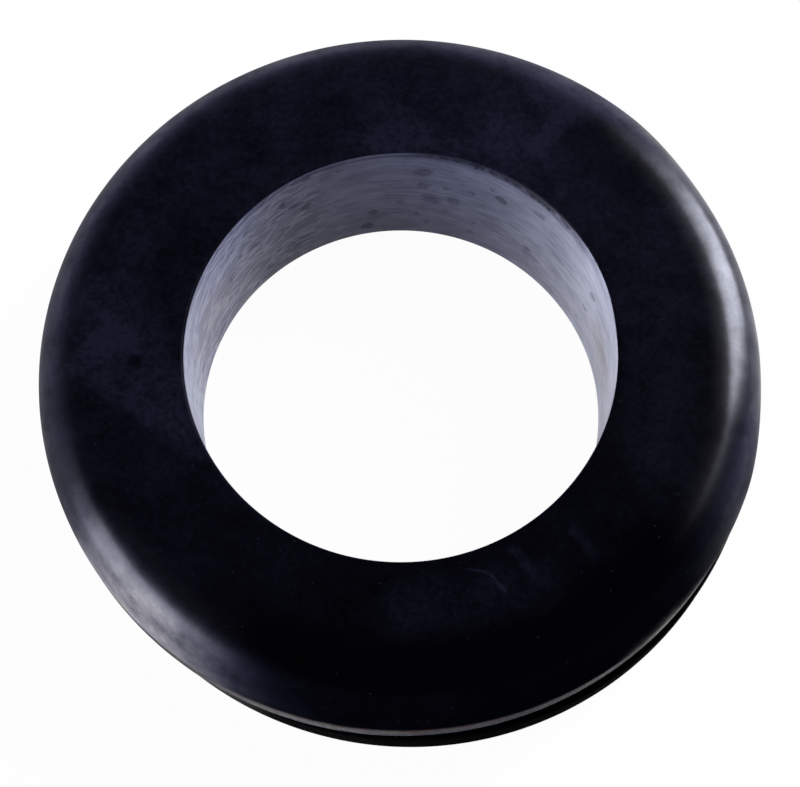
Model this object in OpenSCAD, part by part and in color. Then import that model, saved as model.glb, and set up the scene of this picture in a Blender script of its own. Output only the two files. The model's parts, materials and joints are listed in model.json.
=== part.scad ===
// Rubber grommet: a moulded ring that lines a round hole in a panel.
// Z = 0 is the lower face, and the Z axis is the middle of the bore.

/* [Bore] */
// Diameter of the hole through the middle
bore_d = 22.2; // [10:0.1:40]
// Rounding where the bore meets the two faces
bore_edge_r = 0.2; // [0.1:0.05:0.5]

/* [Neck] */
// Rubber between the bore and the bottom of the groove
neck_wall = 3.2; // [1:0.1:8]
// Width of the groove, which takes the panel's edge
groove_w = 1.6; // [0.8:0.1:6]

/* [Flanges] */
// Thickness of each flange, from its face to the groove
flange_t = 4.4; // [2:0.1:9]
// How far each flange reaches out past the bottom of the groove
flange_reach = 4.75; // [1.5:0.05:10]
// Rounding of each flange's outer corner
corner_r = 2.4; // [0.5:0.1:4]
// Rounding of each flange's lip, beside the groove
lip_r = 0.2; // [0.1:0.05:0.4]

/* [Hidden] */

$fn = 128;
// Cuts run this far past the faces that they open
over = 1;

bore_r = bore_d / 2;
groove_r = bore_r + neck_wall;
flange_r = groove_r + flange_reach;
height = 2 * flange_t + groove_w;

// Straight rubber left beside a rounding
land = 0.1;
// The corner's rounding keeps clear of the lip and of the bore's edge
outer_r = min(corner_r, flange_t - lip_r - land, flange_r - bore_r - bore_edge_r - land);

// What a rounding of radius r takes off a corner at the origin, with the solid below and to the left
module corner_waste(r) {
    difference() {
        translate([-r, -r]) square(r + over);
        translate([-r, -r]) circle(r);
    }
}

// Section of the upper flange, with the rest of the ring below it left square
module flange_section() {
    difference() {
        translate([bore_r, 0]) square([flange_r - bore_r, flange_t]);
        translate([flange_r, flange_t]) corner_waste(outer_r);
        translate([flange_r, 0]) mirror([0, 1]) corner_waste(lip_r);
        translate([bore_r, flange_t]) mirror([1, 0]) corner_waste(bore_edge_r);
    }
}

// Section of the whole ring, on the +X side of its axis
module ring_section() {
    translate([0, flange_t + groove_w]) flange_section();
    translate([bore_r, flange_t]) square([neck_wall, groove_w]);
    translate([0, flange_t]) mirror([0, 1]) flange_section();
}

module grommet() {
    color("#0c0c12") rotate_extrude() ring_section();
}

grommet();
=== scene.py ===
import bpy
import json
import math
from mathutils import Matrix, Vector


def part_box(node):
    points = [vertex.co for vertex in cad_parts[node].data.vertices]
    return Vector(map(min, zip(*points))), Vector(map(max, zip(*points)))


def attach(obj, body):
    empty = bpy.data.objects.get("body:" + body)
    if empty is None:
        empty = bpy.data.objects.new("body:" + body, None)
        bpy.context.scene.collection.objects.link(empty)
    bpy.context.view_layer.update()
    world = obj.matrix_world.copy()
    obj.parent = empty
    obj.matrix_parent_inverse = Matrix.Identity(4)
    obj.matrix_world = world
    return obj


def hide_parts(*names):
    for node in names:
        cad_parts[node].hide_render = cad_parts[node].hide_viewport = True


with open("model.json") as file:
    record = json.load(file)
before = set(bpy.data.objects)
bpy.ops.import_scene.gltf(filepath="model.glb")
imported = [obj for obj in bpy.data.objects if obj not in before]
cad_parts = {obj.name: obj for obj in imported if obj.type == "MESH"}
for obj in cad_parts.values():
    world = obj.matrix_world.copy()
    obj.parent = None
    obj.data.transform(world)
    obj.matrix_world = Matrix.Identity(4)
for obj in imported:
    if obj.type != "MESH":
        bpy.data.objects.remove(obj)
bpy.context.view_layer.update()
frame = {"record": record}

mm = 0.001
scene = bpy.context.scene
scene.view_settings.view_transform = "Standard"

mounts = {m["name"]: m["dims"] for m in frame["record"]["mounts"]}
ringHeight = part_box("grommet")[1][2] / mm
boreRadius = mounts["bore"]["r_mm"]
grooveRadius = mounts["groove"]["r_mm"]
grooveWidth = mounts["groove"]["length_mm"]
flangeThickness = (ringHeight - grooveWidth) / 2
upperLip = ringHeight - flangeThickness
print("frame loaded, ring is", round(ringHeight, 2), "mm high")


def linear(hexColour):  # sRGB hex to the linear colour that nodes take
    values = [int(hexColour[i:i + 2], 16) / 255 for i in (1, 3, 5)]
    return [v / 12.92 if v <= 0.04045 else ((v + 0.055) / 1.055) ** 2.4 for v in values] + [1.0]


def addNode(tree, kind, inputs=None, **settings):  # inputs: a socket's name or number, and a value or a link
    node = tree.nodes.new(kind)
    for name, value in settings.items():
        setattr(node, name, value)
    for name, value in (inputs or {}).items():
        if isinstance(value, bpy.types.NodeSocket):
            tree.links.new(value, node.inputs[name])
        else:
            node.inputs[name].default_value = value
    return node


def sideways(degrees):  # the level direction at this azimuth
    return (math.cos(math.radians(degrees)), math.sin(math.radians(degrees)), 0.0)


def facing(tree, outward, side, spread):  # 0 up to the first cosine from that side, and 1 from the second on
    aligned = addNode(tree, "ShaderNodeVectorMath", {0: outward, 1: side},
                      operation="DOT_PRODUCT").outputs["Value"]
    return addNode(tree, "ShaderNodeMapRange", {
        "Value": aligned, "From Min": spread[0], "From Max": spread[1]},
        interpolation_type="SMOOTHSTEP").outputs[0]


def lobe(tree, outward, degrees, narrow):  # 1 straight towards this azimuth, falling off on both sides of it
    aligned = addNode(tree, "ShaderNodeVectorMath", {0: outward, 1: sideways(degrees)},
                      operation="DOT_PRODUCT").outputs["Value"]
    fall = addNode(tree, "ShaderNodeMath", {0: aligned, 1: narrow, 2: -narrow},
                   operation="MULTIPLY_ADD").outputs[0]
    return addNode(tree, "ShaderNodeMath", {0: fall}, operation="EXPONENT").outputs[0]


def emptyMaterial(name):
    material = bpy.data.materials.new(name)
    material.use_nodes = True
    material.node_tree.nodes.clear()
    return material


cameraSetup = {
    "elevation": 71.29,  # degrees above the floor
    "roll": -0.4,
    "distance": 97.0,  # mm along the view, from the middle of the bore's upper rim
    "right": -0.03,  # mm that the camera stands off that middle, across the view
    "above": -2.25,
    "lens": 85.3,
    "sensor": 36,
    "nearest": 0.005,  # m, nothing nearer than this is drawn
}


def makeCamera():
    elevation = math.radians(cameraSetup["elevation"])
    roll = math.radians(cameraSetup["roll"])
    back = Vector((0, -math.cos(elevation), math.sin(elevation)))
    level = Vector((1, 0, 0))
    upright = back.cross(level)
    across = level * math.cos(roll) + upright * math.sin(roll)
    above = back.cross(across)
    place = Vector((0, 0, ringHeight)) + back * cameraSetup["distance"]
    place += across * cameraSetup["right"] + above * cameraSetup["above"]
    data = bpy.data.cameras.new("camera")
    data.lens = cameraSetup["lens"]
    data.sensor_width = cameraSetup["sensor"]
    data.clip_start = cameraSetup["nearest"]
    camera = bpy.data.objects.new("camera", data)
    scene.collection.objects.link(camera)
    camera.matrix_world = Matrix.Translation(place * mm) @ Matrix((across, above, back)).transposed().to_4x4()
    scene.camera = camera


makeCamera()
print("camera placed")

# Rubber comes out of the mould a little small and off centre, so the two flanges don't quite line up.
ringShape = {
    "Bore Radius": boreRadius,
    "Groove Radius": grooveRadius,
    "Upper Radius": 18.95,
    "Lower Radius": 18.52,
    "Lower Face": 0.0,
    "Lower Lip": flangeThickness,
    "Upper Lip": upperLip,
    "Upper Face": ringHeight,
    "Corner": 2.4,
    "Lip": 0.2,
    "Bore Edge": 0.2,
    "Bore Skin Depth": 0.03,  # the bore's own finish reaches this far out from its wall
    "Spacing": 0.26,  # between rings of points along the section
    "Upper Shift": (0.055, -0.085, 0.0),
    "Lower Shift": (0.5, -0.52, 0.0),
    "Out Of Round": 0.04,
    "Wobbles": 0.045,  # per mm
    "Flat": 0.22,  # how far the upper flange's wall is pressed in on one side
    "Flat Side": sideways(13),
    "Flat Begins": 0.82,  # cosines from that side
    "Flat Whole": 0.97,
    "Flat Depth": 1.8,  # under the face, the flat is whole from here down
    "Sink": 0.03,  # how far the upper face sinks in soft hollows
    "Hollows": 0.11,  # per mm
    "Edge Wear": 0.16,  # how far the bore's upper edge is pushed back where it is worn most
    "Worn Side": sideways(48),
    "Wear Begins": 0.7,  # cosines from that side
    "Wear Whole": 0.95,
    "Wear Depth": 0.75,
    "Wear Reach": 1.2,
    "Lip Waves": 0.3,  # the trimmed flash left the upper lip's edge uneven by a share of this
    "Waves": 0.9,  # per mm
    "Wave Middle": 0.65,  # above half, so the waves hang down more than they rise
    "Wave Reach": 0.7,  # and they die out this far above and below the lip
    "Steps Around": 430,
    "Steps In Corner": 14,
    "Steps In Lip": 6,
}
sectionCorners = [  # how far out, how high, the rounding, and the steps in it
    ("Bore Radius", "Lower Face", "Bore Edge", "Steps In Lip"),
    ("Lower Radius", "Lower Face", "Corner", "Steps In Corner"),
    ("Lower Radius", "Lower Lip", "Lip", "Steps In Lip"),
    ("Groove Radius", "Lower Lip", "Lip", "Steps In Lip"),
    ("Groove Radius", "Upper Lip", "Lip", "Steps In Lip"),
    ("Upper Radius", "Upper Lip", "Lip", "Steps In Lip"),
    ("Upper Radius", "Upper Face", "Corner", "Steps In Corner"),
    ("Bore Radius", "Upper Face", "Bore Edge", "Steps In Lip"),
]


def ringTree():
    # Everything in the tree is in millimetres until its last Transform.
    tree = bpy.data.node_groups.new("mouldedRing", "GeometryNodeTree")
    tree.interface.new_socket("Geometry", in_out="OUTPUT", socket_type="NodeSocketGeometry")
    socketKinds = {int: "NodeSocketInt", tuple: "NodeSocketVector", float: "NodeSocketFloat"}
    for name, value in ringShape.items():
        tree.interface.new_socket(name, in_out="INPUT", socket_type=socketKinds[type(value)])
    for name in ("Skin", "Bore Skin"):
        tree.interface.new_socket(name, in_out="INPUT", socket_type="NodeSocketMaterial")
    size = addNode(tree, "NodeGroupInput").outputs
    index = addNode(tree, "GeometryNodeInputIndex").outputs[0]

    # The section is a closed line through its eight corners, each then rounded off.
    columns = []
    for names in zip(*sectionCorners):
        counts = "Steps" in names[0] or "Steps" in names[1]
        switch = addNode(tree, "GeometryNodeIndexSwitch", data_type="INT" if counts else "FLOAT")
        while len(switch.index_switch_items) < len(names):
            switch.index_switch_items.new()
        tree.links.new(index, switch.inputs["Index"])
        for slot, name in enumerate(names, start=1):
            tree.links.new(size[name], switch.inputs[slot])
        columns.append(switch.outputs[0])
    out, height, rounding, steps = columns

    # Curve to Mesh turns a profile's X outwards and its Y downwards on this circle.
    outwards = addNode(tree, "ShaderNodeMath", {0: out, 1: size["Bore Radius"]},
                       operation="SUBTRACT").outputs[0]
    downwards = addNode(tree, "ShaderNodeMath", {0: height, 1: -1.0}, operation="MULTIPLY").outputs[0]
    corner = addNode(tree, "ShaderNodeCombineXYZ", {"X": outwards, "Y": downwards}).outputs[0]
    line = addNode(tree, "GeometryNodeMeshLine", {"Count": len(sectionCorners)}).outputs[0]
    line = addNode(tree, "GeometryNodeSetPosition", {"Geometry": line, "Position": corner}).outputs[0]
    line = addNode(tree, "GeometryNodeMeshToCurve", {"Mesh": line}).outputs[0]
    line = addNode(tree, "GeometryNodeSetSplineCyclic", {"Geometry": line, "Cyclic": True}).outputs[0]
    line = addNode(tree, "GeometryNodeFilletCurve", {
        "Curve": line, "Count": steps, "Radius": rounding}, mode="POLY").outputs[0]

    # Long straight stretches are cut into short ones, and the roundings stay as they are.
    points = addNode(tree, "GeometryNodeAttributeDomainSize", {"Geometry": line},
                     component="CURVE").outputs[0]
    following = addNode(tree, "ShaderNodeMath", {0: index, 1: 1.0}, operation="ADD").outputs[0]
    following = addNode(tree, "ShaderNodeMath", {0: following, 1: points}, operation="MODULO").outputs[0]
    here = addNode(tree, "GeometryNodeInputPosition").outputs[0]
    there = addNode(tree, "GeometryNodeFieldAtIndex", {"Value": here, "Index": following},
                    data_type="FLOAT_VECTOR", domain="POINT").outputs[0]
    length = addNode(tree, "ShaderNodeVectorMath", {0: here, 1: there}, operation="DISTANCE").outputs["Value"]
    cuts = addNode(tree, "ShaderNodeMath", {0: length, 1: size["Spacing"]}, operation="DIVIDE").outputs[0]
    cuts = addNode(tree, "ShaderNodeMath", {0: cuts}, operation="FLOOR").outputs[0]
    line = addNode(tree, "GeometryNodeSubdivideCurve", {"Curve": line, "Cuts": cuts}).outputs[0]
    circle = addNode(tree, "GeometryNodeCurvePrimitiveCircle", {
        "Resolution": size["Steps Around"], "Radius": size["Bore Radius"]}).outputs["Curve"]
    ring = addNode(tree, "GeometryNodeCurveToMesh", {"Curve": circle, "Profile Curve": line}).outputs[0]

    # The bore's wall gets its own finish, so it is picked out while it is still a true cylinder.
    place = addNode(tree, "GeometryNodeInputPosition").outputs[0]
    part = addNode(tree, "ShaderNodeSeparateXYZ", {0: place}).outputs
    flat = addNode(tree, "ShaderNodeCombineXYZ", {"X": part["X"], "Y": part["Y"]}).outputs[0]
    radius = addNode(tree, "ShaderNodeVectorMath", {0: flat}, operation="LENGTH").outputs["Value"]
    outward = addNode(tree, "ShaderNodeVectorMath", {0: flat}, operation="NORMALIZE").outputs[0]
    past = addNode(tree, "ShaderNodeMath", {0: radius, 1: size["Bore Radius"]},
                   operation="SUBTRACT").outputs[0]
    inBore = addNode(tree, "FunctionNodeCompare", {0: past, 1: size["Bore Skin Depth"]},
                     operation="LESS_THAN").outputs[0]
    ring = addNode(tree, "GeometryNodeSetMaterial", {"Geometry": ring, "Material": size["Skin"]}).outputs[0]
    ring = addNode(tree, "GeometryNodeSetMaterial", {
        "Geometry": ring, "Selection": inBore, "Material": size["Bore Skin"]}).outputs[0]

    # Each flange moves sideways as a whole, and the bore stays true.
    reach = addNode(tree, "ShaderNodeMapRange", {
        "Value": radius, "From Min": size["Bore Radius"], "From Max": size["Groove Radius"]},
        interpolation_type="SMOOTHSTEP").outputs[0]
    isUpper = addNode(tree, "ShaderNodeMapRange", {
        "Value": part["Z"], "From Min": size["Lower Lip"], "From Max": size["Upper Lip"]}).outputs[0]
    shift = addNode(tree, "ShaderNodeMix", {
        "Factor": isUpper, 4: size["Lower Shift"], 5: size["Upper Shift"]}, data_type="VECTOR").outputs[1]
    moved = addNode(tree, "ShaderNodeVectorMath", {0: shift, "Scale": reach}, operation="SCALE").outputs[0]

    # It is slightly out of round.
    slow = addNode(tree, "ShaderNodeTexNoise", {
        "Vector": place, "Scale": size["Wobbles"], "Detail": 1.0}).outputs[0]
    slow = addNode(tree, "ShaderNodeMath", {0: slow, 1: 0.5}, operation="SUBTRACT").outputs[0]
    for factor in (size["Out Of Round"], reach):
        slow = addNode(tree, "ShaderNodeMath", {0: slow, 1: factor}, operation="MULTIPLY").outputs[0]
    slow = addNode(tree, "ShaderNodeVectorMath", {0: outward, "Scale": slow}, operation="SCALE").outputs[0]
    moved = addNode(tree, "ShaderNodeVectorMath", {0: moved, 1: slow}, operation="ADD").outputs[0]

    # The upper flange's wall has a shallow flat on one side, which runs out over the shoulder.
    pressed = facing(tree, outward, size["Flat Side"], (size["Flat Begins"], size["Flat Whole"]))
    below = addNode(tree, "ShaderNodeMath", {0: size["Upper Face"], 1: part["Z"]},
                    operation="SUBTRACT").outputs[0]
    below = addNode(tree, "ShaderNodeMapRange", {
        "Value": below, "From Min": 0.1, "From Max": size["Flat Depth"]},
        interpolation_type="SMOOTHSTEP").outputs[0]
    for factor in (below, reach, isUpper, size["Flat"]):
        pressed = addNode(tree, "ShaderNodeMath", {0: pressed, 1: factor}, operation="MULTIPLY").outputs[0]
    pressed = addNode(tree, "ShaderNodeVectorMath", {0: outward, "Scale": pressed},
                      operation="SCALE").outputs[0]
    moved = addNode(tree, "ShaderNodeVectorMath", {0: moved, 1: pressed}, operation="SUBTRACT").outputs[0]

    # Shallow hollows in the upper face.
    sink = addNode(tree, "ShaderNodeTexNoise", {
        "Vector": place, "Scale": size["Hollows"], "Detail": 0.0}).outputs[0]
    onTop = addNode(tree, "ShaderNodeMapRange", {
        "Value": part["Z"], "From Min": size["Upper Lip"], "From Max": size["Upper Face"]},
        interpolation_type="SMOOTHSTEP").outputs[0]
    for factor in (size["Sink"], onTop):
        sink = addNode(tree, "ShaderNodeMath", {0: sink, 1: factor}, operation="MULTIPLY").outputs[0]
    sink = addNode(tree, "ShaderNodeVectorMath", {0: (0, 0, -1), "Scale": sink}, operation="SCALE").outputs[0]
    moved = addNode(tree, "ShaderNodeVectorMath", {0: moved, 1: sink}, operation="ADD").outputs[0]

    # The bore's upper edge is worn back on one side.
    drop = addNode(tree, "ShaderNodeMath", {0: size["Upper Face"], 1: part["Z"]},
                   operation="SUBTRACT").outputs[0]
    nearTop = addNode(tree, "ShaderNodeMapRange", {
        "Value": drop, "From Min": 0.0, "From Max": size["Wear Depth"], "To Min": 1.0, "To Max": 0.0},
        interpolation_type="SMOOTHSTEP").outputs[0]
    nearBore = addNode(tree, "ShaderNodeMapRange", {
        "Value": past, "From Min": 0.1, "From Max": size["Wear Reach"], "To Min": 1.0, "To Max": 0.0},
        interpolation_type="SMOOTHSTEP").outputs[0]
    worn = facing(tree, outward, size["Worn Side"], (size["Wear Begins"], size["Wear Whole"]))
    for factor in (nearTop, nearBore, size["Edge Wear"]):
        worn = addNode(tree, "ShaderNodeMath", {0: worn, 1: factor}, operation="MULTIPLY").outputs[0]
    worn = addNode(tree, "ShaderNodeVectorMath", {0: outward, "Scale": worn}, operation="SCALE").outputs[0]
    moved = addNode(tree, "ShaderNodeVectorMath", {0: moved, 1: worn}, operation="ADD").outputs[0]

    # The upper lip waves up and down where the flash was trimmed off.
    waves = addNode(tree, "ShaderNodeTexNoise", {
        "Vector": flat, "Scale": size["Waves"], "Detail": 2.0}).outputs[0]
    waves = addNode(tree, "ShaderNodeMath", {0: waves, 1: size["Wave Middle"]},
                    operation="SUBTRACT").outputs[0]
    above = addNode(tree, "ShaderNodeMath", {0: part["Z"], 1: size["Upper Lip"]},
                    operation="SUBTRACT").outputs[0]
    above = addNode(tree, "ShaderNodeMath", {0: above}, operation="ABSOLUTE").outputs[0]
    atLip = addNode(tree, "ShaderNodeMapRange", {
        "Value": above, "From Min": 0.25, "From Max": size["Wave Reach"], "To Min": 1.0, "To Max": 0.0},
        interpolation_type="SMOOTHSTEP").outputs[0]
    for factor in (atLip, reach, size["Lip Waves"]):
        waves = addNode(tree, "ShaderNodeMath", {0: waves, 1: factor}, operation="MULTIPLY").outputs[0]
    waves = addNode(tree, "ShaderNodeCombineXYZ", {"Z": waves}).outputs[0]
    moved = addNode(tree, "ShaderNodeVectorMath", {0: moved, 1: waves}, operation="ADD").outputs[0]

    ring = addNode(tree, "GeometryNodeSetPosition", {"Geometry": ring, "Offset": moved}).outputs[0]
    ring = addNode(tree, "GeometryNodeTransform", {"Geometry": ring, "Scale": (mm, mm, mm)}).outputs[0]
    ring = addNode(tree, "GeometryNodeSetShadeSmooth", {"Geometry": ring}).outputs[0]
    ring = addNode(tree, "GeometryNodeRealizeInstances", {"Geometry": ring}).outputs[0]
    addNode(tree, "NodeGroupOutput", {"Geometry": ring})
    return tree


# Moulded natural rubber filled with carbon black: a matt blue-black body that is close to black all over.
# Its gloss is the wax that has come to the surface, a thin clear film. Where the wax is thick it turns to a
# pale bloom, and where fingers wiped it off the black body shows. Most of the pale and bluish colour on the
# shoulders, the lighter haze over the far side of the face and the warm and blue bands at the lip are
# painted highlights, highlight edges and reflections.
skinLook = {
    "body": "#020203",
    "hazeAndReflection": "#151520",  # thin bloom on the flat face, and the painted reflection of the room over its far side
    "thinBloomAndSheen": "#6b6f9a",  # a thin bloom scatters the blue light most; on the shoulders this colour mostly paints a bluish sheen by the highlights
    "bloomAndHighlight": "#d0cbc8",  # and a thick one all light alike; on the left shoulder it partly paints in the highlight
    "bodyRoughness": 0.7,
    "bodyGloss": 0.0,
    "bodyIor": 1.52,
    "waxRoughness": 0.29,
    "waxIor": 1.6,
    "waxRipple": 0.22,  # mm, the mould's own finish, seen as speckle in the highlights
    "rippleHeight": 0.002,  # mm
    "cloud": 2.4,  # mm across
    "cloudPull": 1.3,  # mm, how far the clouds pull the marks on the face about
    "sharpMark": 0.2,  # mm, and a mark with a sharper edge than this stays put
    "cloudHaze": (0.55, 1.35),  # between the clouds and in them
    "speckle": 0.3,  # mm
    "speckleHaze": (0.65, 1.3),
    "smear": 0.65,  # mm
    "smearAlong": 5.0,  # mm, the radius the smears are drawn at, so they are longer out on the shoulder
    "smearBloom": (0.55, 1.2),
    "thickBloom": 0.45,  # the bloom has its full colour from here on
    # the haze grows towards this side: a painted reflection of the room over the far part of the face
    "reflectionSide": (-0.25, 0.97, 0.0),
    "reflectionReach": (-14.0, 9.0),  # mm towards that side
    "hazeAndReflectionLevels": (0.13, 0.42),
    "dustSpacing": 0.55,  # mm
    "dustRadius": 0.05,  # mm
    "shoulderHeight": (upperLip + 1.0, upperLip + 2.4),
    "faceFilm": 0.03,  # how much wax is left on the flat
    "faceEdge": (15.7, 17.5),  # and between these radii it comes up to the shoulder's
    "restFilm": 0.26,  # on the shoulder away from filmSides
    "wipedSide": 284,  # degrees
    "wipedSpread": (0.58, 0.84),  # cosines, here and below
    "wipedEdge": (13.6, 16.4),
    "wipedFilm": 0.0,
    "ragged": 1.6,  # mm, how unevenly the film ends above the lip
    "lipHeight": (upperLip + 2.05, upperLip + 0.85),  # the film comes back between these, down to the lip
    "lipFilm": 0.38,
    "rubbedLip": 281,  # degrees, the lip has lost more than half of that here
    "rubbedSpread": (0.93, 1.0),
    "rubbedFilm": 0.42,
    "keptSide": 329,  # degrees, this side kept its film, from the lip up to the shoulder
    "keptSpread": (0.9, 0.975),
    "keptHeight": (upperLip + 3.1, upperLip + 1.1),
    "keptFilm": 0.6,
    # painted edges of the lip's highlight: warm above it, blue on the lip
    "lipFringeWarm": "#362c2a",
    "fringeWarmHeight": (upperLip + 2.1, upperLip + 1.5),
    "lipFringeBlue": "#1b1d2b",
    "fringeBlueHeight": (upperLip + 1.2, upperLip + 0.5),
    "lowerFilm": 0.04,
    "cloudFilm": (0.62, 1.04),
    "mattFilm": 0.2,  # the film's share that thick bloom leaves
}
filmSides = (  # the shoulder keeps its whole film here: the side in degrees, and cosines from it
    (18, (0.79, 0.955)),
    (226, (0.93, 0.995)),
)
# The left mark is whitish bloom that also paints in that shoulder's highlight; the right, streak and edge
# marks paint a blue sheen on and round the right highlight; the far mark paints a lighter reflection on the
# far shoulder.
bloomAndHighlightMarks = {  # on the shoulder, partly real bloom and mostly painted highlight and reflection: the side in degrees, how narrow, the mm down over which it begins, strength
    "leftShoulder": (226, 38, (0.0, 0.55), 0.42),
    "rightShoulder": (348, 26, (0.0, 0.5), 0.075),
    "streakShoulder": (48, 9, (-0.02, 0.2), 0.08),
    "farShoulder": (135, 1.8, (0.0, 0.5), 0.13),
    "edgeShoulder": (12, 14, (0.25, 0.8), 0.09),
}
# Rounded rectangles on the flat face: the place and the half sizes in mm, the turn in degrees, the soft edge
# in mm, and the strength. The left band and fan, with the clear strip inside them, are painted reflection.
hazeAndReflectionMarks = {
    "leftReflectionBand": ((-12.5, -1.9), (4.2, 1.6), -33, 0.6, 0.35),
    "leftReflectionFan": ((-14.9, 1.4), (1.6, 1.4), -58, 1.8, 0.27),
    "innerClear": ((-11.7, 4.6), (0.5, 2.2), -24, 1.2, -0.12),
    "farPatch": ((2.6, 12.0), (3.2, 0.4), -6, 2.2, 0.45),
    "farShade": ((3.1, 12.7), (1.2, 0.2), -4, 0.9, -0.3),
    "farStreak": ((8.3, 12.6), (0.1, 1.8), -38, 0.8, 0.5),
    "farRim": ((8.6, 14.0), (1.2, 0.2), -36, 1.0, 0.6),
    "farWedge": ((10.9, 11.0), (2.0, 1.0), -46, 0.7, -0.2),
    "sideStreak": ((7.9, 10.3), (0.0, 1.6), 28, 0.7, 0.22),
    "roundSpot": ((-13.75, -0.5), (0.15, 0.15), 0, 0.38, -0.55),
    "smudge": ((-12.1, -0.4), (0.5, 0.1), 10, 0.5, -0.2),
    "nearCloud": ((3.5, -13.2), (3.4, 0.4), 10, 1.7, 0.26),
    "rightCloud": ((13.3, -3.0), (0.4, 5.0), 4, 2.2, 0.12),
    "scuffStart": ((3.7, -11.6), (0.5, 0.0), -10, 0.13, 0.5),
    "scuffEnd": ((4.7, -12.2), (0.55, 0.0), -50, 0.13, 0.6),
    "scuffBroad": ((5.9, -11.2), (0.8, 0.0), -58, 0.45, 0.4),
    "scuffFaint": ((9.1, -10.3), (0.8, 0.0), -57, 0.5, 0.2),
    "scratchRight": ((11.5, 7.0), (0.8, 0.0), -40, 0.12, 0.22),
}


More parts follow.
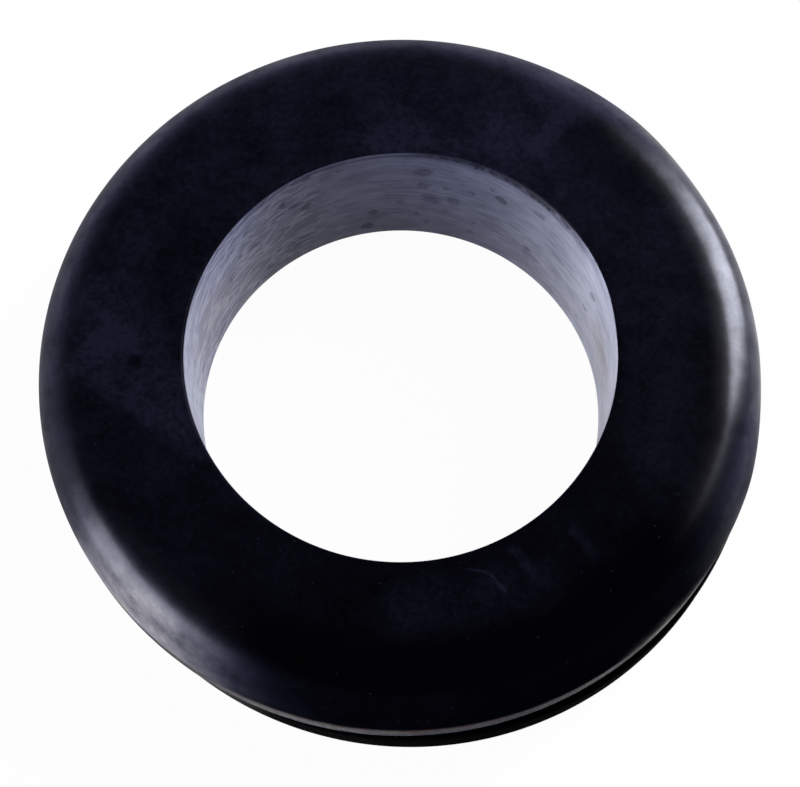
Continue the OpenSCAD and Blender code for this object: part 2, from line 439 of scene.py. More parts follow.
def skinMaterial():
    look = skinLook
    material = emptyMaterial("mouldedRubberSkin")
    tree = material.node_tree

    # Object coordinates in millimetres, the direction out from the axis, and the height.
    place = addNode(tree, "ShaderNodeTexCoord").outputs["Object"]
    place = addNode(tree, "ShaderNodeVectorMath", {0: place, "Scale": 1 / mm}, operation="SCALE").outputs[0]
    part = addNode(tree, "ShaderNodeSeparateXYZ", {0: place}).outputs
    flat = addNode(tree, "ShaderNodeCombineXYZ", {"X": part["X"], "Y": part["Y"]}).outputs[0]
    outward = addNode(tree, "ShaderNodeVectorMath", {0: flat}, operation="NORMALIZE").outputs[0]
    radius = addNode(tree, "ShaderNodeVectorMath", {0: flat}, operation="LENGTH").outputs["Value"]
    height = part["Z"]

    clouds = addNode(tree, "ShaderNodeTexNoise", {
        "Vector": place, "Scale": 1 / look["cloud"], "Detail": 6.0, "Roughness": 0.68})
    drift = addNode(tree, "ShaderNodeVectorMath", {0: clouds.outputs["Color"], 1: (0.5, 0.5, 0.5)},
                    operation="SUBTRACT").outputs[0]
    pull = (look["cloudPull"], look["cloudPull"], 0.0)
    drifted = addNode(tree, "ShaderNodeVectorMath", {0: drift, 1: pull, 2: flat},
                      operation="MULTIPLY_ADD").outputs[0]

    # One side has been wiped by handling.
    wiped = facing(tree, outward, sideways(look["wipedSide"]), look["wipedSpread"])

    # Haze over the face: more of it to the far side, which is painted reflection of the room, and the marks
    # on top, the left band and fan painted reflection too.
    farness = addNode(tree, "ShaderNodeVectorMath", {0: drifted, 1: look["reflectionSide"]},
                      operation="DOT_PRODUCT").outputs["Value"]
    hazeAndReflection = addNode(tree, "ShaderNodeMapRange", {
        "Value": farness, "From Min": look["reflectionReach"][0], "From Max": look["reflectionReach"][1],
        "To Min": look["hazeAndReflectionLevels"][0], "To Max": look["hazeAndReflectionLevels"][1]},
        interpolation_type="SMOOTHSTEP").outputs[0]
    for middle, half, turn, soft, strength in hazeAndReflectionMarks.values():
        local = addNode(tree, "ShaderNodeMapping", {
            "Vector": drifted if soft > look["sharpMark"] else flat, "Location": (*middle, 0.0),
            "Rotation": (0, 0, math.radians(turn))}, vector_type="TEXTURE").outputs[0]
        local = addNode(tree, "ShaderNodeVectorMath", {0: local}, operation="ABSOLUTE").outputs[0]
        local = addNode(tree, "ShaderNodeVectorMath", {0: local, 1: (*half, 0.0)},
                        operation="SUBTRACT").outputs[0]
        local = addNode(tree, "ShaderNodeVectorMath", {0: local, 1: (0, 0, 0)},
                        operation="MAXIMUM").outputs[0]
        apart = addNode(tree, "ShaderNodeVectorMath", {0: local}, operation="LENGTH").outputs["Value"]
        amount = addNode(tree, "ShaderNodeMapRange", {
            "Value": apart, "From Min": 0.0, "From Max": soft, "To Min": strength, "To Max": 0.0},
            interpolation_type="SMOOTHSTEP").outputs[0]
        hazeAndReflection = addNode(tree, "ShaderNodeMath", {0: hazeAndReflection, 1: amount}, operation="ADD").outputs[0]
    thick = addNode(tree, "ShaderNodeMapRange", {
        "Value": clouds.outputs[0], "From Min": 0.34, "From Max": 0.66,
        "To Min": look["cloudHaze"][0], "To Max": look["cloudHaze"][1]}).outputs[0]
    speckle = addNode(tree, "ShaderNodeTexNoise", {
        "Vector": place, "Scale": 1 / look["speckle"], "Detail": 3.0, "Roughness": 0.7}).outputs[0]
    speckled = addNode(tree, "ShaderNodeMapRange", {
        "Value": speckle, "From Min": 0.35, "From Max": 0.65,
        "To Min": look["speckleHaze"][0], "To Max": look["speckleHaze"][1]}).outputs[0]
    edge = addNode(tree, "ShaderNodeMapRange", {
        "Value": radius, "From Min": look["wipedEdge"][0], "From Max": look["wipedEdge"][1]},
        interpolation_type="SMOOTHSTEP").outputs[0]
    edge = addNode(tree, "ShaderNodeMath", {0: edge, 1: wiped}, operation="MULTIPLY").outputs[0]
    unwiped = addNode(tree, "ShaderNodeMath", {0: 1.0, 1: edge}, operation="SUBTRACT").outputs[0]
    for factor in (thick, speckled, unwiped):
        hazeAndReflection = addNode(tree, "ShaderNodeMath", {0: hazeAndReflection, 1: factor}, operation="MULTIPLY",
                       use_clamp=True).outputs[0]

    # Dust, in half of the cells.
    cells = addNode(tree, "ShaderNodeTexVoronoi", {
        "Vector": place, "Scale": 1 / look["dustSpacing"]}).outputs
    pick = addNode(tree, "ShaderNodeSeparateXYZ", {0: cells["Color"]}).outputs
    dust = addNode(tree, "ShaderNodeMath", {
        0: cells["Distance"], 1: look["dustRadius"] / look["dustSpacing"]}, operation="LESS_THAN").outputs[0]
    few = addNode(tree, "ShaderNodeMath", {0: pick["Y"], 1: 0.5}, operation="SUBTRACT",
                  use_clamp=True).outputs[0]
    few = addNode(tree, "ShaderNodeMath", {0: few, 1: 2.5}, operation="MULTIPLY").outputs[0]
    dust = addNode(tree, "ShaderNodeMath", {0: dust, 1: few}, operation="MULTIPLY").outputs[0]
    hazeAndReflection = addNode(tree, "ShaderNodeMath", {0: hazeAndReflection, 1: dust}, operation="ADD", use_clamp=True).outputs[0]

    # Bloom on the shoulder, in clouds that were smeared along it: mostly painted highlight and reflection,
    # with real bloom in part of the left patch.
    along = addNode(tree, "ShaderNodeVectorMath", {0: outward, "Scale": look["smearAlong"]},
                    operation="SCALE").outputs[0]
    across = addNode(tree, "ShaderNodeCombineXYZ", {"Z": height}).outputs[0]
    along = addNode(tree, "ShaderNodeVectorMath", {0: along, 1: across}, operation="ADD").outputs[0]
    smear = addNode(tree, "ShaderNodeTexNoise", {
        "Vector": along, "Scale": 1 / look["smear"], "Detail": 5.0, "Roughness": 0.6}).outputs[0]
    curdled = addNode(tree, "ShaderNodeMath", {0: smear, 1: clouds.outputs[0]}, operation="ADD").outputs[0]
    curdled = addNode(tree, "ShaderNodeMapRange", {
        "Value": curdled, "From Min": 0.75, "From Max": 1.15,
        "To Min": look["smearBloom"][0], "To Max": look["smearBloom"][1]}).outputs[0]
    onShoulder = addNode(tree, "ShaderNodeMapRange", {
        "Value": height, "From Min": look["shoulderHeight"][0], "From Max": look["shoulderHeight"][1]},
        interpolation_type="SMOOTHSTEP").outputs[0]
    curdled = addNode(tree, "ShaderNodeMath", {0: curdled, 1: onShoulder}, operation="MULTIPLY").outputs[0]
    bloomAndHighlight = 0.0
    for azimuth, narrow, depths, strength in bloomAndHighlightMarks.values():
        amount = lobe(tree, outward, azimuth, narrow)
        down = addNode(tree, "ShaderNodeMapRange", {
            "Value": height, "From Min": ringHeight - depths[0], "From Max": ringHeight - depths[1]},
            interpolation_type="SMOOTHSTEP").outputs[0]
        for factor in (down, curdled, strength):
            amount = addNode(tree, "ShaderNodeMath", {0: amount, 1: factor}, operation="MULTIPLY").outputs[0]
        bloomAndHighlight = addNode(tree, "ShaderNodeMath", {0: bloomAndHighlight, 1: amount}, operation="ADD").outputs[0]

    hazeAndReflectionColour = addNode(tree, "ShaderNodeMix", {
        "Factor": hazeAndReflection, 6: linear(look["body"]), 7: linear(look["hazeAndReflection"])}, data_type="RGBA").outputs[2]
    thickness = addNode(tree, "ShaderNodeMapRange", {
        "Value": bloomAndHighlight, "From Max": look["thickBloom"]}).outputs[0]
    bloomAndHighlightColour = addNode(tree, "ShaderNodeMix", {
        "Factor": thickness, 6: linear(look["thinBloomAndSheen"]), 7: linear(look["bloomAndHighlight"])},
        data_type="RGBA").outputs[2]

    # A painted warm band above the lip and a painted blue band on the lip itself, the coloured edges of the
    # lip's highlight, on the wiped side only.
    fringeAmount, blueShare = (addNode(tree, "ShaderNodeMapRange", {
        "Value": height, "From Min": begins, "From Max": whole}, interpolation_type="SMOOTHSTEP").outputs[0]
        for begins, whole in (look["fringeWarmHeight"], look["fringeBlueHeight"]))
    onUpper = addNode(tree, "ShaderNodeMath", {0: height, 1: upperLip - 0.1},
                      operation="GREATER_THAN").outputs[0]
    fringeColour = addNode(tree, "ShaderNodeMix", {
        "Factor": blueShare, 6: linear(look["lipFringeWarm"]), 7: linear(look["lipFringeBlue"])},
        data_type="RGBA").outputs[2]
    for factor in (onUpper, wiped):
        fringeAmount = addNode(tree, "ShaderNodeMath", {0: fringeAmount, 1: factor}, operation="MULTIPLY").outputs[0]
    hazeAndReflectionColour = addNode(tree, "ShaderNodeMix", {"Factor": fringeAmount, 6: hazeAndReflectionColour, 7: fringeColour}, data_type="RGBA").outputs[2]
    colour = addNode(tree, "ShaderNodeMix", {
        "Factor": bloomAndHighlight, 6: hazeAndReflectionColour, 7: bloomAndHighlightColour}, data_type="RGBA").outputs[2]

    # The wax film: thin on the flat, whole on the shoulder at two sides and less of it all round. It is wiped
    # off at the near side down to the lip, and from the lower flange there, and one stretch has kept it.
    shoulderFilm = look["restFilm"]
    for azimuth, spread in filmSides:
        side = facing(tree, outward, sideways(azimuth), spread)
        side = addNode(tree, "ShaderNodeMath", {0: side, 1: onShoulder}, operation="MULTIPLY").outputs[0]
        shoulderFilm = addNode(tree, "ShaderNodeMath", {0: shoulderFilm, 1: side},
                               operation="MAXIMUM").outputs[0]
    film = addNode(tree, "ShaderNodeMapRange", {
        "Value": radius, "From Min": look["faceEdge"][0], "From Max": look["faceEdge"][1],
        "To Min": look["faceFilm"], "To Max": shoulderFilm}, interpolation_type="SMOOTHSTEP").outputs[0]
    uneven = addNode(tree, "ShaderNodeSeparateXYZ", {0: drift}).outputs["Z"]
    uneven = addNode(tree, "ShaderNodeMath", {0: uneven, 1: look["ragged"], 2: height},
                     operation="MULTIPLY_ADD").outputs[0]
    left = addNode(tree, "ShaderNodeMapRange", {
        "Value": uneven, "From Min": look["lipHeight"][0], "From Max": look["lipHeight"][1],
        "To Min": look["wipedFilm"], "To Max": look["lipFilm"]}, interpolation_type="SMOOTHSTEP").outputs[0]
    broken = addNode(tree, "ShaderNodeMapRange", {
        "Value": speckle, "From Min": 0.35, "From Max": 0.65, "To Min": 0.6, "To Max": 1.25}).outputs[0]
    rubbed = addNode(tree, "ShaderNodeVectorMath", {0: outward, 1: sideways(look["rubbedLip"])},
                     operation="DOT_PRODUCT").outputs["Value"]
    rubbed = addNode(tree, "ShaderNodeMapRange", {
        "Value": rubbed, "From Min": look["rubbedSpread"][0], "From Max": look["rubbedSpread"][1],
        "To Min": 1.0, "To Max": look["rubbedFilm"]}).outputs[0]
    for factor in (broken, rubbed):
        left = addNode(tree, "ShaderNodeMath", {0: left, 1: factor}, operation="MULTIPLY").outputs[0]
    film = addNode(tree, "ShaderNodeMix", {"Factor": wiped, 2: film, 3: left}).outputs[0]
    kept = facing(tree, outward, sideways(look["keptSide"]), look["keptSpread"])
    high = addNode(tree, "ShaderNodeMapRange", {
        "Value": uneven, "From Min": look["keptHeight"][0], "From Max": look["keptHeight"][1],
        "To Min": 0.0, "To Max": look["keptFilm"]}, interpolation_type="SMOOTHSTEP").outputs[0]
    for factor in (high, broken):
        kept = addNode(tree, "ShaderNodeMath", {0: kept, 1: factor}, operation="MULTIPLY").outputs[0]
    film = addNode(tree, "ShaderNodeMath", {0: film, 1: kept}, operation="MAXIMUM").outputs[0]
    lower = addNode(tree, "ShaderNodeMapRange", {
        "Value": wiped, "To Min": 1.0, "To Max": look["lowerFilm"]}).outputs[0]
    isUpper = addNode(tree, "ShaderNodeMapRange", {
        "Value": height, "From Min": upperLip - 0.3, "From Max": upperLip - 0.05,
        "To Min": lower, "To Max": 1.0}).outputs[0]
    film = addNode(tree, "ShaderNodeMath", {0: film, 1: isUpper}, operation="MULTIPLY").outputs[0]
    patchy = addNode(tree, "ShaderNodeMapRange", {
        "Value": clouds.outputs[0], "From Min": 0.35, "From Max": 0.6,
        "To Min": look["cloudFilm"][0], "To Max": look["cloudFilm"][1]}).outputs[0]
    matted = addNode(tree, "ShaderNodeMapRange", {
        "Value": bloomAndHighlight, "From Max": 0.6, "To Min": 1.0, "To Max": look["mattFilm"]}).outputs[0]
    for factor in (patchy, matted):
        film = addNode(tree, "ShaderNodeMath", {0: film, 1: factor}, operation="MULTIPLY").outputs[0]

    ripple = addNode(tree, "ShaderNodeTexNoise", {
        "Vector": place, "Scale": 0.5 / look["waxRipple"], "Detail": 3.0, "Roughness": 0.7}).outputs[0]
    bump = addNode(tree, "ShaderNodeBump", {
        "Height": ripple, "Strength": 1.0, "Distance": look["rippleHeight"] * mm}).outputs[0]
    shader = addNode(tree, "ShaderNodeBsdfPrincipled", {
        "Base Color": colour, "Roughness": look["bodyRoughness"], "Specular IOR Level": look["bodyGloss"],
        "IOR": look["bodyIor"], "Coat Weight": film, "Coat Roughness": look["waxRoughness"],
        "Coat IOR": look["waxIor"], "Normal": bump, "Coat Normal": bump})
    addNode(tree, "ShaderNodeOutputMaterial", {"Surface": shader.outputs[0]})
    return material


# The bore was moulded round a turned core pin: a smooth wall with faint rings round it, a blue-grey film
# that looks paler the flatter it is seen, round spots where that film is gone, and creases where the warm
# rubber was pulled off the pin. On two sides of the wall a pale colour paints in a bright reflection.
boreLook = {
    "body": "#0a0a10",
    "film": "#4b4d65",
    "farSide": 90,  # the film has less gloss on this side
    "farSpread": (0.3, 1.0),
    # painted reflection on the two side walls
    "paleReflection": "#bec0ce",
    "sheen": "#8b93c6",
    "sheenWeight": 0.46,
    "sheenRoughness": 0.35,
    "roughness": 0.6,
    "bodyIor": 1.52,
    "filmRoughness": 0.28,
    "filmWeight": 1.0,
    "farWeight": 0.4,
    "gloss": 0.0,
    "ring": 0.12,  # mm between the rings
    "ringStretch": 0.12,  # how fast they change along the wall, as a share of up it
    "ringHeight": 0.0012,  # mm
    "ringFilm": (0.66, 1.14),  # between the rings and on them
    "cloud": 2.0,  # mm across
    "cloudPull": 0.9,  # mm, how far the clouds pull the spots about
    "cloudFilm": (0.78, 1.05),
    "spotSpacing": 1.5,  # mm
    "spotRadius": 0.3,  # mm
    "spotEdge": (-0.03, 0.08),  # mm out from the spot's rim
    "spotFilm": 0.62,  # the film left in them
    "roughOutline": 0.3,  # mm
    "roughPull": 0.8,  # mm
    "crease": 0.75,  # mm across
    "creaseSlant": 0.6,  # radians
    "creaseStretch": (0.8, 0.8, 1.5),
    "creaseHeight": 0.028,  # mm
    "creaseFilm": 1.35,
    "creasedSide": 148,  # degrees
    "creasedSpread": (0.72, 0.94),
    "wearWave": 0.3,  # mm, how unevenly the wear at the upper edge ends
}
boreSpots = (  # degrees round, height, radius and soft edge in mm, and how much film is gone
    (60.5, 7.5, 0.3, 0.16, 0.45),
    (83.5, 8.1, 0.4, 0.25, 0.42),
    (83.5, 6.4, 0.32, 0.2, 0.4),
    (74.0, 5.0, 0.35, 0.3, 0.3),
    (81.0, 4.8, 0.35, 0.35, 0.3),
    (117.5, 6.3, 0.28, 0.16, 0.4),
    (136.0, 6.0, 0.25, 0.15, 0.35),
    (121.5, 2.2, 0.5, 0.5, 0.3),
    (100.0, 1.3, 0.26, 0.15, 0.45),
    (49.0, 2.7, 0.4, 0.4, 0.22),
    (38.5, 3.4, 0.3, 0.4, 0.18),
    (47.5, 8.6, 0.25, 0.25, 0.25),
    (69.5, 6.9, 0.12, 0.12, 0.35),
    (89.5, 4.2, 0.2, 0.25, 0.28),
    (111.5, 8.9, 0.2, 0.3, 0.28),
    (113.5, 7.5, 0.1, 0.12, 0.35),
    (121.5, 7.2, 0.2, 0.2, 0.38),
    (125.0, 8.0, 0.15, 0.2, 0.3),
    (141.0, 6.3, 0.12, 0.15, 0.35),
    (138.0, 8.5, 0.2, 0.2, 0.3),
    (69.0, 1.8, 0.15, 0.2, 0.3),
    (82.0, 1.7, 0.15, 0.2, 0.3),
    (131.5, 1.7, 0.15, 0.25, 0.3),
)
paleReflectionSides = (  # degrees round, how narrow, and how pale the painted reflection is
    (8.0, 5.5, 1.15),
    (185.0, 28.0, 0.44),
)
brownPatches = (  # degrees round, height, radius and soft edge in mm, how brown, and the brown
    (8.0, 4.2, 0.6, 2.2, 0.55, "#93817f"),
    (158.0, 4.8, 0.8, 2.8, 0.8, "#5a4b54"),
)
# Near the upper edge: degrees round, cosines, mm under the face where it begins and where it ends, the film
# left, and how ragged in mm.
boreWear = (
    (97, (0.3, 0.6), (0.66, 0.5), (0.36, 0.26), 0.55, 0.0),
    (60, (0.84, 0.95), (0.5, 0.3), (-0.5, -0.6), 0.3, 0.9),
)


def wallSpot(tree, place, azimuth, height, inside, soft, amount):  # a round spot on the bore's wall
    centre = Vector(sideways(azimuth)) * boreRadius + Vector((0, 0, height))
    apart = addNode(tree, "ShaderNodeVectorMath", {0: place, 1: centre},
                    operation="DISTANCE").outputs["Value"]
    return addNode(tree, "ShaderNodeMapRange", {
        "Value": apart, "From Min": inside, "From Max": inside + soft, "To Min": amount, "To Max": 0.0},
        interpolation_type="SMOOTHSTEP").outputs[0]


def boreMaterial():
    look = boreLook
    material = emptyMaterial("mouldedBoreWall")
    tree = material.node_tree
    place = addNode(tree, "ShaderNodeTexCoord").outputs["Object"]
    place = addNode(tree, "ShaderNodeVectorMath", {0: place, "Scale": 1 / mm}, operation="SCALE").outputs[0]
    flat = addNode(tree, "ShaderNodeVectorMath", {0: place, 1: (1, 1, 0)}, operation="MULTIPLY").outputs[0]
    outward = addNode(tree, "ShaderNodeVectorMath", {0: flat}, operation="NORMALIZE").outputs[0]

    stretch = (look["ringStretch"], look["ringStretch"], 1.0)
    drawn = addNode(tree, "ShaderNodeMapping", {"Vector": place, "Scale": stretch}).outputs[0]
    rings = addNode(tree, "ShaderNodeTexNoise", {
        "Vector": drawn, "Scale": 0.5 / look["ring"], "Detail": 4.0, "Roughness": 0.65}).outputs[0]
    clouds = addNode(tree, "ShaderNodeTexNoise", {
        "Vector": place, "Scale": 1 / look["cloud"], "Detail": 7.0, "Roughness": 0.65}).outputs
    drift = addNode(tree, "ShaderNodeVectorMath", {0: clouds["Color"], 1: (0.5, 0.5, 0.5)},
                    operation="SUBTRACT").outputs[0]
    drifted = addNode(tree, "ShaderNodeVectorMath", {0: drift, 1: (look["cloudPull"],) * 3, 2: place},
                      operation="MULTIPLY_ADD").outputs[0]
    rough = addNode(tree, "ShaderNodeTexNoise", {
        "Vector": place, "Scale": 0.5 / look["roughOutline"], "Detail": 4.0, "Roughness": 0.7})
    rough = addNode(tree, "ShaderNodeVectorMath", {0: rough.outputs["Color"], 1: (0.5, 0.5, 0.5)},
                    operation="SUBTRACT").outputs[0]
    torn = addNode(tree, "ShaderNodeVectorMath", {0: rough, 1: (look["roughPull"],) * 3, 2: drifted},
                   operation="MULTIPLY_ADD").outputs[0]

    # Spots of many sizes, one to a cell.
    cells = addNode(tree, "ShaderNodeTexVoronoi", {
        "Vector": torn, "Scale": 1 / look["spotSpacing"]}).outputs
    pick = addNode(tree, "ShaderNodeSeparateXYZ", {0: cells["Color"]}).outputs
    rim = addNode(tree, "ShaderNodeMath", {
        0: pick["X"], 1: look["spotRadius"] / look["spotSpacing"]}, operation="MULTIPLY").outputs[0]
    past = addNode(tree, "ShaderNodeMath", {0: cells["Distance"], 1: rim}, operation="SUBTRACT").outputs[0]
    film = addNode(tree, "ShaderNodeMapRange", {
        "Value": past, "From Min": look["spotEdge"][0], "From Max": look["spotEdge"][1],
        "To Min": look["spotFilm"], "To Max": 1.0}, interpolation_type="SMOOTHSTEP").outputs[0]
    for spot in boreSpots:
        gone = wallSpot(tree, torn, *spot)
        film = addNode(tree, "ShaderNodeMath", {0: film, 1: gone}, operation="SUBTRACT").outputs[0]

    # Creases, slanting, on one side only.
    slant = addNode(tree, "ShaderNodeMapping", {
        "Vector": drifted, "Rotation": (0, look["creaseSlant"], 0),
        "Scale": look["creaseStretch"]}).outputs[0]
    folds = addNode(tree, "ShaderNodeTexNoise", {
        "Vector": slant, "Scale": 0.5 / look["crease"], "Detail": 2.0}).outputs[0]
    folds = addNode(tree, "ShaderNodeMath", {0: folds, 1: 0.5}, operation="SUBTRACT").outputs[0]
    folds = addNode(tree, "ShaderNodeMath", {0: folds}, operation="ABSOLUTE").outputs[0]
    folds = addNode(tree, "ShaderNodeMapRange", {
        "Value": folds, "From Min": 0.0, "From Max": 0.1, "To Min": 1.0, "To Max": 0.0},
        interpolation_type="SMOOTHSTEP").outputs[0]
    creased = facing(tree, outward, sideways(look["creasedSide"]), look["creasedSpread"])
    folds = addNode(tree, "ShaderNodeMath", {0: folds, 1: creased}, operation="MULTIPLY").outputs[0]

    # The film is uneven, thicker in the creases, and worn off near the upper edge on two sides.
    ringed = addNode(tree, "ShaderNodeMapRange", {
        "Value": rings, "From Min": 0.3, "From Max": 0.7,
        "To Min": look["ringFilm"][0], "To Max": look["ringFilm"][1]}).outputs[0]
    cloudy = addNode(tree, "ShaderNodeMapRange", {
        "Value": clouds[0], "From Min": 0.35, "From Max": 0.65,
        "To Min": look["cloudFilm"][0], "To Max": look["cloudFilm"][1]}).outputs[0]
    ridged = addNode(tree, "ShaderNodeMapRange", {
        "Value": folds, "To Min": 1.0, "To Max": look["creaseFilm"]}).outputs[0]
    for factor in (ringed, cloudy, ridged):
        film = addNode(tree, "ShaderNodeMath", {0: film, 1: factor}, operation="MULTIPLY").outputs[0]
    wavy = addNode(tree, "ShaderNodeVectorMath", {0: drift, 1: (0, 0, look["wearWave"]), 2: place},
                   operation="MULTIPLY_ADD").outputs[0]
    for azimuth, spread, begins, ends, left, ragged in boreWear:
        worn = facing(tree, outward, sideways(azimuth), spread)
        height = addNode(tree, "ShaderNodeVectorMath", {0: rough, 1: (0, 0, ragged), 2: wavy},
                         operation="MULTIPLY_ADD").outputs[0]
        height = addNode(tree, "ShaderNodeSeparateXYZ", {0: height}).outputs["Z"]
        for depths, level in ((begins, (0.0, 1.0)), (ends, (1.0, 0.0))):
            edge = addNode(tree, "ShaderNodeMapRange", {
                "Value": height, "From Min": ringHeight - depths[0], "From Max": ringHeight - depths[1],
                "To Min": level[0], "To Max": level[1]}, interpolation_type="SMOOTHSTEP").outputs[0]
            worn = addNode(tree, "ShaderNodeMath", {0: worn, 1: edge}, operation="MULTIPLY").outputs[0]
        kept = addNode(tree, "ShaderNodeMapRange", {"Value": worn, "To Min": 1.0, "To Max": left}).outputs[0]
        film = addNode(tree, "ShaderNodeMath", {0: film, 1: kept}, operation="MULTIPLY").outputs[0]

    # Its colour and its gloss change round the wall; the pale colour on two sides is a painted reflection.
    farness = facing(tree, outward, sideways(look["farSide"]), look["farSpread"])
    paleReflection = 0.0
    for azimuth, narrow, amount in paleReflectionSides:
        side = lobe(tree, outward, azimuth, narrow)
        side = addNode(tree, "ShaderNodeMath", {0: side, 1: amount}, operation="MULTIPLY").outputs[0]
        paleReflection = addNode(tree, "ShaderNodeMath", {0: paleReflection, 1: side}, operation="ADD").outputs[0]
    tinted = addNode(tree, "ShaderNodeMix", {
        "Factor": paleReflection, 6: linear(look["film"]), 7: linear(look["paleReflection"])}, data_type="RGBA").outputs[2]
    for *spot, brown in brownPatches:
        patch = wallSpot(tree, torn, *spot)
        tinted = addNode(tree, "ShaderNodeMix", {"Factor": patch, 6: tinted, 7: linear(brown)},
                         data_type="RGBA").outputs[2]
    colour = addNode(tree, "ShaderNodeMix", {
        "Factor": film, 6: linear(look["body"]), 7: tinted}, data_type="RGBA").outputs[2]
    weight = addNode(tree, "ShaderNodeMapRange", {
        "Value": farness, "To Min": look["filmWeight"], "To Max": look["farWeight"]}).outputs[0]
    weight = addNode(tree, "ShaderNodeMath", {0: weight, 1: film}, operation="MULTIPLY").outputs[0]

    bump = addNode(tree, "ShaderNodeBump", {
        "Height": rings, "Strength": 1.0, "Distance": look["ringHeight"] * mm}).outputs[0]
    bump = addNode(tree, "ShaderNodeBump", {
        "Height": folds, "Strength": 1.0, "Distance": look["creaseHeight"] * mm, "Normal": bump}).outputs[0]
    shader = addNode(tree, "ShaderNodeBsdfPrincipled", {
        "Base Color": colour, "Roughness": look["roughness"], "Specular IOR Level": look["gloss"],
        "IOR": look["bodyIor"], "Coat Weight": weight, "Coat Roughness": look["filmRoughness"],
        "Normal": bump, "Coat Normal": bump, "Sheen Weight": look["sheenWeight"],
        "Sheen Roughness": look["sheenRoughness"], "Sheen Tint": linear(look["sheen"])})
    addNode(tree, "ShaderNodeOutputMaterial", {"Surface": shader.outputs[0]})
    return material


def makeRing(skin, boreSkin):
    tree = ringTree()
    maker = bpy.data.objects.new("ringMaker", bpy.data.meshes.new("ringMaker"))
    scene.collection.objects.link(maker)
    modifier = maker.modifiers.new("ring", "NODES")
    modifier.node_group = tree
    values = {**ringShape, "Skin": skin, "Bore Skin": boreSkin}
    for item in tree.interface.items_tree:
        if item.in_out == "INPUT":
            modifier[item.identifier] = values[item.name]
    made = maker.evaluated_get(bpy.context.evaluated_depsgraph_get())
    mesh = bpy.data.meshes.new_from_object(made)
    bpy.data.objects.remove(maker)
    ring = bpy.data.objects.new("mouldedRing", mesh)
    scene.collection.objects.link(ring)
    print("ring made,", len(mesh.polygons), "faces, materials", [m.name for m in mesh.materials])
    return ring


ring = makeRing(skinMaterial(), boreMaterial())
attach(ring, "root")
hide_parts("grommet")

stageSetup = {
    "floor": "#f2f2f2",
    "floorSize": 4.0,  # m
    "gap": 0.02,  # mm under the ring, so that the two don't share a plane
    "shadowShare": 0.035,  # how much of the floor's white the ring's shadow can take away
    "shadowReach": (0.03, 0.15),  # m from the middle, the shadow fades out between these
    "horizon": (0.05, 0.09),  # in the gloss the backdrop's white fades out here, as sines of the elevation
    "ceiling": "#040406",
    "glow": "#84858f",  # the room behind the ring
    "glowFrom": (-0.35, 0.1),  # it comes up between these, as the direction's Y
    "glowTop": (0.55, 0.85),  # and fades between these, as its Z
}
softboxes = {  # degrees, then metres, then watts
    "rightBox": {"azimuth": 35, "elevation": 35.5, "distance": 0.5, "size": (0.16, 0.48), "power": 4.2},
    "leftBox": {"azimuth": 203, "elevation": 24, "distance": 0.5, "size": (0.27, 0.4), "power": 2.3},
    "frontBox": {"azimuth": 270, "elevation": 28, "distance": 0.6, "size": (0.2, 0.3), "power": 0.9},
}
lampTint = "#ebeeff"


def seenDirectly(tree):  # 1 for rays that show the background itself, in the view or in gloss and glass
    rays = addNode(tree, "ShaderNodeLightPath").outputs
    total = addNode(tree, "ShaderNodeMath", {
        0: rays["Is Camera Ray"], 1: rays["Is Glossy Ray"]}, operation="ADD").outputs[0]
    return addNode(tree, "ShaderNodeMath", {
        0: total, 1: rays["Is Transmission Ray"]}, operation="ADD", use_clamp=True).outputs[0]


def makeFloor():
    half = stageSetup["floorSize"] / 2
    mesh = bpy.data.meshes.new("floor")
    under = -stageSetup["gap"] * mm
    corners = [(-half, -half, under), (half, -half, under), (half, half, under), (-half, half, under)]
    mesh.from_pydata(corners, [], [(0, 1, 2, 3)])
    floor = bpy.data.objects.new("floor", mesh)
    scene.collection.objects.link(floor)
    material = emptyMaterial("whitePaper")
    tree = material.node_tree
    paper = addNode(tree, "ShaderNodeBsdfDiffuse", {"Color": linear(stageSetup["floor"])}).outputs[0]
    white = addNode(tree, "ShaderNodeEmission", {"Strength": 1.0}).outputs[0]
    away = addNode(tree, "ShaderNodeTexCoord").outputs["Object"]
    away = addNode(tree, "ShaderNodeVectorMath", {0: away}, operation="LENGTH").outputs["Value"]
    share = addNode(tree, "ShaderNodeMapRange", {
        "Value": away, "From Min": stageSetup["shadowReach"][0], "From Max": stageSetup["shadowReach"][1],
        "To Min": 1 - stageSetup["shadowShare"], "To Max": 1.0}, interpolation_type="SMOOTHSTEP").outputs[0]
    share = addNode(tree, "ShaderNodeMath", {0: seenDirectly(tree), 1: share},
                    operation="MULTIPLY").outputs[0]
    surface = addNode(tree, "ShaderNodeMixShader", {0: share, 1: paper, 2: white}).outputs[0]
    fromBelow = addNode(tree, "ShaderNodeNewGeometry").outputs["Backfacing"]
    clear = addNode(tree, "ShaderNodeBsdfTransparent").outputs[0]
    surface = addNode(tree, "ShaderNodeMixShader", {0: fromBelow, 1: surface, 2: clear}).outputs[0]
    addNode(tree, "ShaderNodeOutputMaterial", {"Surface": surface})
    mesh.materials.append(material)


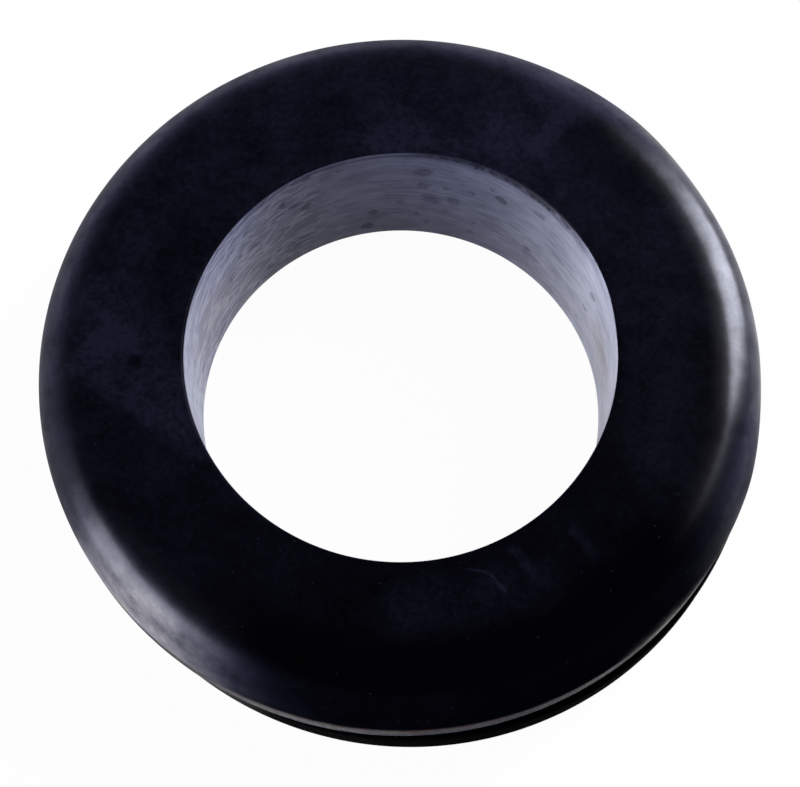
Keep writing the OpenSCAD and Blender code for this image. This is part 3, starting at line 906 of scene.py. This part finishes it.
def makeWorld():
    world = bpy.data.worlds.new("studio")
    scene.world = world
    world.use_nodes = True
    tree = world.node_tree
    tree.nodes.clear()
    direction = addNode(tree, "ShaderNodeTexCoord").outputs["Generated"]
    part = addNode(tree, "ShaderNodeSeparateXYZ", {0: direction}).outputs
    glow = addNode(tree, "ShaderNodeMapRange", {
        "Value": part["Y"], "From Min": stageSetup["glowFrom"][0], "From Max": stageSetup["glowFrom"][1]},
        interpolation_type="SMOOTHSTEP").outputs[0]
    low = addNode(tree, "ShaderNodeMapRange", {
        "Value": part["Z"], "From Min": stageSetup["glowTop"][0], "From Max": stageSetup["glowTop"][1],
        "To Min": 1.0, "To Max": 0.0}, interpolation_type="SMOOTHSTEP").outputs[0]
    glow = addNode(tree, "ShaderNodeMath", {0: glow, 1: low}, operation="MULTIPLY").outputs[0]
    room = addNode(tree, "ShaderNodeMix", {
        "Factor": glow, 6: linear(stageSetup["ceiling"]), 7: linear(stageSetup["glow"])},
        data_type="RGBA").outputs[2]
    backdrop = addNode(tree, "ShaderNodeMapRange", {
        "Value": part["Z"], "From Min": stageSetup["horizon"][0], "From Max": stageSetup["horizon"][1],
        "To Min": 1.0, "To Max": 0.0}).outputs[0]
    backdrop = addNode(tree, "ShaderNodeMath", {0: backdrop, 1: seenDirectly(tree)},
                       operation="MULTIPLY").outputs[0]
    camera = addNode(tree, "ShaderNodeLightPath").outputs["Is Camera Ray"]
    backdrop = addNode(tree, "ShaderNodeMath", {0: backdrop, 1: camera}, operation="MAXIMUM").outputs[0]
    colour = addNode(tree, "ShaderNodeMix", {
        "Factor": backdrop, 6: room, 7: (1, 1, 1, 1)}, data_type="RGBA").outputs[2]
    light = addNode(tree, "ShaderNodeBackground", {"Color": colour, "Strength": 1.0}).outputs[0]
    addNode(tree, "ShaderNodeOutputWorld", {"Surface": light})


def makeSoftboxes():
    for name, box in softboxes.items():
        elevation = math.radians(box["elevation"])
        away = Vector(sideways(box["azimuth"])) * math.cos(elevation) + Vector((0, 0, math.sin(elevation)))
        data = bpy.data.lights.new(name, "AREA")
        data.shape = "RECTANGLE"
        data.size, data.size_y = box["size"]
        data.energy = box["power"]
        data.color = linear(lampTint)[:3]
        lamp = bpy.data.objects.new(name, data)
        scene.collection.objects.link(lamp)
        lamp.rotation_euler = away.to_track_quat("Z", "Y").to_euler()
        lamp.location = away * box["distance"]


makeFloor()
makeWorld()
makeSoftboxes()
print("studio set")
